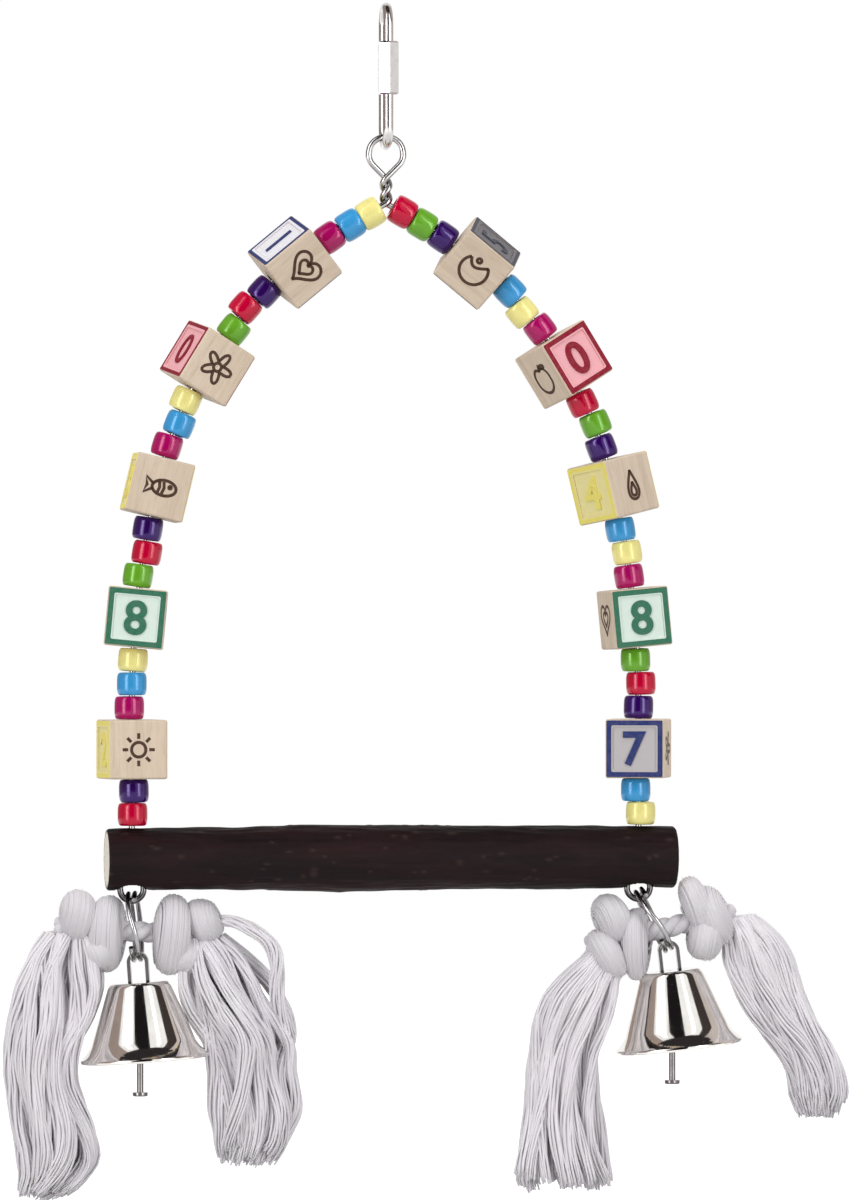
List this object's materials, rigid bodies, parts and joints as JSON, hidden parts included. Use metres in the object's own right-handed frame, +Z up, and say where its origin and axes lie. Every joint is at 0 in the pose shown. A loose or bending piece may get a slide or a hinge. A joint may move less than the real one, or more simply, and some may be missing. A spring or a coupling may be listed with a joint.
{
  "type": "bird swing",
  "caption": "Hanging bird swing: wire arch with plastic beads and wooden blocks, bark perch, and a bell with knotted cotton tassels at each end.",
  "frame": {"origin": "hang point: the inside of the quick link's top bend, on its wire's middle line height less half a wire", "axes": "+Z up, +X along the perch to the picture's right, -Y towards the viewer"},
  "size_m": [0.2561, 0.0384, 0.3576],
  "materials": {
    "bead_yellow": "gloss",
    "bead_blue": "gloss",
    "bead_magenta": "gloss",
    "bead_purple": "gloss",
    "bead_red": "gloss",
    "bead_green": "gloss",
    "block_wood": "bare sanded wood",
    "bark": "natural bark",
    "link_steel": "zinc plated",
    "wire_steel": "bright drawn wire",
    "nickel": "polished nickel plate",
    "cotton": "soft spun cotton"
  },
  "bodies": {
    "link": {"link_body": "link_steel"},
    "nut": {"link_nut": "link_steel"},
    "swing": {"arch_wire": "wire_steel", "perch": "bark"},
    "bell_left": {"left_bell_shell": "nickel", "left_bell_hanger": "nickel"},
    "bell_right": {"right_bell_shell": "nickel", "right_bell_hanger": "nickel"},
    "clapper_left": {"left_clapper": "nickel"},
    "clapper_right": {"right_clapper": "nickel"},
    "ring_left": {"left_split_ring": "wire_steel", "left_rope": "cotton", "left_tassels": "cotton"},
    "ring_right": {"right_split_ring": "wire_steel", "right_rope": "cotton", "right_tassels": "cotton"},
    "left_block_1": {"left_block_1": "block_wood"},
    "left_block_2": {"left_block_2": "block_wood"},
    "left_block_3": {"left_block_3": "block_wood"},
    "left_block_4": {"left_block_4": "block_wood"},
    "left_block_5": {"left_block_5": "block_wood"},
    "right_block_1": {"right_block_1": "block_wood"},
    "right_block_2": {"right_block_2": "block_wood"},
    "right_block_3": {"right_block_3": "block_wood"},
    "right_block_4": {"right_block_4": "block_wood"},
    "right_block_5": {"right_block_5": "block_wood"},
    "left_bead_01": {"left_bead_01": "bead_yellow"},
    "left_bead_02": {"left_bead_02": "bead_blue"},
    "left_bead_03": {"left_bead_03": "bead_magenta"},
    "left_bead_04": {"left_bead_04": "bead_purple"},
    "left_bead_05": {"left_bead_05": "bead_red"},
    "left_bead_06": {"left_bead_06": "bead_green"},
    "left_bead_07": {"left_bead_07": "bead_yellow"},
    "left_bead_08": {"left_bead_08": "bead_blue"},
    "left_bead_09": {"left_bead_09": "bead_magenta"},
    "left_bead_10": {"left_bead_10": "bead_purple"},
    "left_bead_11": {"left_bead_11": "bead_red"},
    "left_bead_12": {"left_bead_12": "bead_green"},
    "left_bead_13": {"left_bead_13": "bead_yellow"},
    "left_bead_14": {"left_bead_14": "bead_blue"},
    "left_bead_15": {"left_bead_15": "bead_magenta"},
    "left_bead_16": {"left_bead_16": "bead_purple"},
    "left_bead_17": {"left_bead_17": "bead_red"},
    "right_bead_01": {"right_bead_01": "bead_red"},
    "right_bead_02": {"right_bead_02": "bead_green"},
    "right_bead_03": {"right_bead_03": "bead_purple"},
    "right_bead_04": {"right_bead_04": "bead_blue"},
    "right_bead_05": {"right_bead_05": "bead_yellow"},
    "right_bead_06": {"right_bead_06": "bead_magenta"},
    "right_bead_07": {"right_bead_07": "bead_red"},
    "right_bead_08": {"right_bead_08": "bead_green"},
    "right_bead_09": {"right_bead_09": "bead_purple"},
    "right_bead_10": {"right_bead_10": "bead_blue"},
    "right_bead_11": {"right_bead_11": "bead_yellow"},
    "right_bead_12": {"right_bead_12": "bead_magenta"},
    "right_bead_13": {"right_bead_13": "bead_green"},
    "right_bead_14": {"right_bead_14": "bead_red"},
    "right_bead_15": {"right_bead_15": "bead_purple"},
    "right_bead_16": {"right_bead_16": "bead_blue"},
    "right_bead_17": {"right_bead_17": "bead_yellow"}
  },
  "joints": [
    {"name": "arch_swing", "type": "hinge", "parent": "link", "child": "swing", "pos_m": [0, 0, -0.0373], "axis": [1, 0, 0], "range_deg": [-40, 40]},
    {"name": "bell_left_swing", "type": "hinge", "parent": "ring_left", "child": "bell_left", "pos_m": [-0.07573, 0, -0.27395], "axis": [0.9811, -0.1736, 0.0858], "range_deg": [-25, 25]},
    {"name": "bell_right_swing", "type": "hinge", "parent": "ring_right", "child": "bell_right", "pos_m": [0.08114, 0, -0.27261], "axis": [0.8888, -0.0698, 0.4529], "range_deg": [-25, 25]},
    {"name": "clapper_left_swing", "type": "hinge", "parent": "bell_left", "child": "clapper_left", "pos_m": [-0.0741, 0, -0.29467], "axis": [0.9847, -0.174, 0], "range_deg": [-26, 26]},
    {"name": "clapper_right_swing", "type": "hinge", "parent": "bell_right", "child": "clapper_right", "pos_m": [0.08687, 0, -0.292], "axis": [0.9978, -0.0658, 0], "range_deg": [-26, 26]},
    {"name": "link_nut_travel", "type": "slide", "parent": "link", "child": "nut", "axis": [0, 0, -1], "range_m": [0, 0.009]},
    {"name": "ring_left_swing", "type": "hinge", "parent": "swing", "child": "ring_left", "pos_m": [-0.0766, 0, -0.26618], "axis": [0.9811, -0.1736, 0.0858], "range_deg": [-18, 18]},
    {"name": "ring_right_swing", "type": "hinge", "parent": "swing", "child": "ring_right", "pos_m": [0.0766, 0, -0.26618], "axis": [0.8888, -0.0698, 0.4529], "range_deg": [-25, 25]},
    {"name": "turn_block_left_1", "type": "hinge", "parent": "swing", "child": "left_block_1", "pos_m": [-0.02763, -0.00051, -0.07508], "axis": [0.7712, -0.0128, 0.6364], "continuous": true},
    {"name": "turn_block_left_2", "type": "hinge", "parent": "swing", "child": "left_block_2", "pos_m": [-0.05394, -0.00012, -0.10543], "axis": [0.5206, -0.0064, 0.8538], "continuous": true},
    {"name": "turn_block_left_3", "type": "hinge", "parent": "swing", "child": "left_block_3", "pos_m": [-0.06889, 0, -0.14263], "axis": [0.233, 0, 0.9725], "continuous": true},
    {"name": "turn_block_left_4", "type": "hinge", "parent": "swing", "child": "left_block_4", "pos_m": [-0.07537, 0, -0.1816], "axis": [0.0938, 0, 0.9956], "continuous": true},
    {"name": "turn_block_left_5", "type": "hinge", "parent": "swing", "child": "left_block_5", "pos_m": [-0.0766, 0, -0.22089], "axis": [0, 0, 1], "continuous": true},
    {"name": "turn_block_right_1", "type": "hinge", "parent": "swing", "child": "right_block_1", "pos_m": [0.02763, 0.00051, -0.07508], "axis": [-0.7712, 0.0128, 0.6364], "continuous": true},
    {"name": "turn_block_right_2", "type": "hinge", "parent": "swing", "child": "right_block_2", "pos_m": [0.05394, 0.00012, -0.10543], "axis": [-0.5206, 0.0064, 0.8538], "continuous": true},
    {"name": "turn_block_right_3", "type": "hinge", "parent": "swing", "child": "right_block_3", "pos_m": [0.06889, 0, -0.14263], "axis": [-0.233, 0, 0.9725], "continuous": true},
    {"name": "turn_block_right_4", "type": "hinge", "parent": "swing", "child": "right_block_4", "pos_m": [0.07537, 0, -0.1816], "axis": [-0.0938, 0, 0.9956], "continuous": true},
    {"name": "turn_block_right_5", "type": "hinge", "parent": "swing", "child": "right_block_5", "pos_m": [0.0766, 0, -0.22089], "axis": [0, 0, 1], "continuous": true},
    {"name": "twirl_left_bead_01", "type": "hinge", "parent": "swing", "child": "left_bead_01", "pos_m": [-0.005, -0.0009, -0.06008], "axis": [0.8659, -0.0154, 0.4999], "continuous": true},
    {"name": "twirl_left_bead_02", "type": "hinge", "parent": "swing", "child": "left_bead_02", "pos_m": [-0.01094, -0.00079, -0.06383], "axis": [0.8659, -0.0154, 0.4999], "continuous": true},
    {"name": "twirl_left_bead_03", "type": "hinge", "parent": "swing", "child": "left_bead_03", "pos_m": [-0.01737, -0.00068, -0.06727], "axis": [0.8345, -0.0145, 0.5508], "continuous": true},
    {"name": "twirl_left_bead_04", "type": "hinge", "parent": "swing", "child": "left_bead_04", "pos_m": [-0.037, -0.00036, -0.08393], "axis": [0.6992, -0.0109, 0.7149], "continuous": true},
    {"name": "twirl_left_bead_05", "type": "hinge", "parent": "swing", "child": "left_bead_05", "pos_m": [-0.04246, -0.00028, -0.0888], "axis": [0.655, -0.0097, 0.7556], "continuous": true},
    {"name": "twirl_left_bead_06", "type": "hinge", "parent": "swing", "child": "left_bead_06", "pos_m": [-0.04637, -0.00021, -0.09502], "axis": [0.6084, -0.0086, 0.7936], "continuous": true},
    {"name": "twirl_left_bead_07", "type": "hinge", "parent": "swing", "child": "left_bead_07", "pos_m": [-0.06046, -0.00005, -0.11658], "axis": [0.4268, -0.0042, 0.9043], "continuous": true},
    {"name": "twirl_left_bead_08", "type": "hinge", "parent": "swing", "child": "left_bead_08", "pos_m": [-0.06255, -0.00002, -0.12362], "axis": [0.3717, -0.0029, 0.9283], "continuous": true},
    {"name": "twirl_left_bead_09", "type": "hinge", "parent": "swing", "child": "left_bead_09", "pos_m": [-0.06589, -0.00001, -0.13015], "axis": [0.3152, -0.0016, 0.949], "continuous": true},
    {"name": "twirl_left_bead_10", "type": "hinge", "parent": "swing", "child": "left_bead_10", "pos_m": [-0.07182, 0, -0.15493], "axis": [0.1889, 0, 0.982], "continuous": true},
    {"name": "twirl_left_bead_11", "type": "hinge", "parent": "swing", "child": "left_bead_11", "pos_m": [-0.07255, 0, -0.16204], "axis": [0.1638, 0, 0.9865], "continuous": true},
    {"name": "twirl_left_bead_12", "type": "hinge", "parent": "swing", "child": "left_bead_12", "pos_m": [-0.07434, 0, -0.16899], "axis": [0.1386, 0, 0.9903], "continuous": true},
    {"name": "twirl_left_bead_13", "type": "hinge", "parent": "swing", "child": "left_bead_13", "pos_m": [-0.07591, 0, -0.19422], "axis": [0.0488, 0, 0.9988], "continuous": true},
    {"name": "twirl_left_bead_14", "type": "hinge", "parent": "swing", "child": "left_bead_14", "pos_m": [-0.07643, 0, -0.20133], "axis": [0.0233, 0, 0.9997], "continuous": true},
    {"name": "twirl_left_bead_15", "type": "hinge", "parent": "swing", "child": "left_bead_15", "pos_m": [-0.07696, 0, -0.20845], "axis": [0, 0, 1], "continuous": true},
    {"name": "twirl_left_bead_16", "type": "hinge", "parent": "swing", "child": "left_bead_16", "pos_m": [-0.07642, 0, -0.23332], "axis": [0, 0, 1], "continuous": true},
    {"name": "twirl_left_bead_17", "type": "hinge", "parent": "swing", "child": "left_bead_17", "pos_m": [-0.07678, 0, -0.24034], "axis": [0, 0, 1], "continuous": true},
    {"name": "twirl_right_bead_01", "type": "hinge", "parent": "swing", "child": "right_bead_01", "pos_m": [0.00513, 0.0009, -0.05985], "axis": [-0.8659, 0.0154, 0.4999], "continuous": true},
    {"name": "twirl_right_bead_02", "type": "hinge", "parent": "swing", "child": "right_bead_02", "pos_m": [0.01126, 0.00079, -0.06328], "axis": [-0.8659, 0.0154, 0.4999], "continuous": true},
    {"name": "twirl_right_bead_03", "type": "hinge", "parent": "swing", "child": "right_bead_03", "pos_m": [0.01712, 0.00068, -0.06764], "axis": [-0.8345, 0.0145, 0.5508], "continuous": true},
    {"name": "twirl_right_bead_04", "type": "hinge", "parent": "swing", "child": "right_bead_04", "pos_m": [0.03725, 0.00036, -0.08367], "axis": [-0.6992, 0.0109, 0.7149], "continuous": true},
    {"name": "twirl_right_bead_05", "type": "hinge", "parent": "swing", "child": "right_bead_05", "pos_m": [0.04165, 0.00028, -0.08951], "axis": [-0.655, 0.0097, 0.7556], "continuous": true},
    {"name": "twirl_right_bead_06", "type": "hinge", "parent": "swing", "child": "right_bead_06", "pos_m": [0.04687, 0.00021, -0.09463], "axis": [-0.6084, 0.0086, 0.7936], "continuous": true},
    {"name": "twirl_right_bead_07", "type": "hinge", "parent": "swing", "child": "right_bead_07", "pos_m": [0.05957, 0.00005, -0.11701], "axis": [-0.4268, 0.0042, 0.9043], "continuous": true},
    {"name": "twirl_right_bead_08", "type": "hinge", "parent": "swing", "child": "right_bead_08", "pos_m": [0.06338, 0.00002, -0.12328], "axis": [-0.3717, 0.0029, 0.9283], "continuous": true},
    {"name": "twirl_right_bead_09", "type": "hinge", "parent": "swing", "child": "right_bead_09", "pos_m": [0.06521, 0.00001, -0.13037], "axis": [-0.3152, 0.0016, 0.949], "continuous": true},
    {"name": "twirl_right_bead_10", "type": "hinge", "parent": "swing", "child": "right_bead_10", "pos_m": [0.07121, 0, -0.15505], "axis": [-0.1889, 0, 0.982], "continuous": true},
    {"name": "twirl_right_bead_11", "type": "hinge", "parent": "swing", "child": "right_bead_11", "pos_m": [0.07326, 0, -0.16193], "axis": [-0.1638, 0, 0.9865], "continuous": true},
    {"name": "twirl_right_bead_12", "type": "hinge", "parent": "swing", "child": "right_bead_12", "pos_m": [0.07425, 0, -0.169], "axis": [-0.1386, 0, 0.9903], "continuous": true},
    {"name": "twirl_right_bead_13", "type": "hinge", "parent": "swing", "child": "right_bead_13", "pos_m": [0.07591, 0, -0.19422], "axis": [-0.0488, 0, 0.9988], "continuous": true},
    {"name": "twirl_right_bead_14", "type": "hinge", "parent": "swing", "child": "right_bead_14", "pos_m": [0.07697, 0, -0.20132], "axis": [-0.0233, 0, 0.9997], "continuous": true},
    {"name": "twirl_right_bead_15", "type": "hinge", "parent": "swing", "child": "right_bead_15", "pos_m": [0.07642, 0, -0.20845], "axis": [0, 0, 1], "continuous": true},
    {"name": "twirl_right_bead_16", "type": "hinge", "parent": "swing", "child": "right_bead_16", "pos_m": [0.07624, 0, -0.23332], "axis": [0, 0, 1], "continuous": true},
    {"name": "twirl_right_bead_17", "type": "hinge", "parent": "swing", "child": "right_bead_17", "pos_m": [0.07678, 0, -0.24034], "axis": [0, 0, 1], "continuous": true}
  ]
}
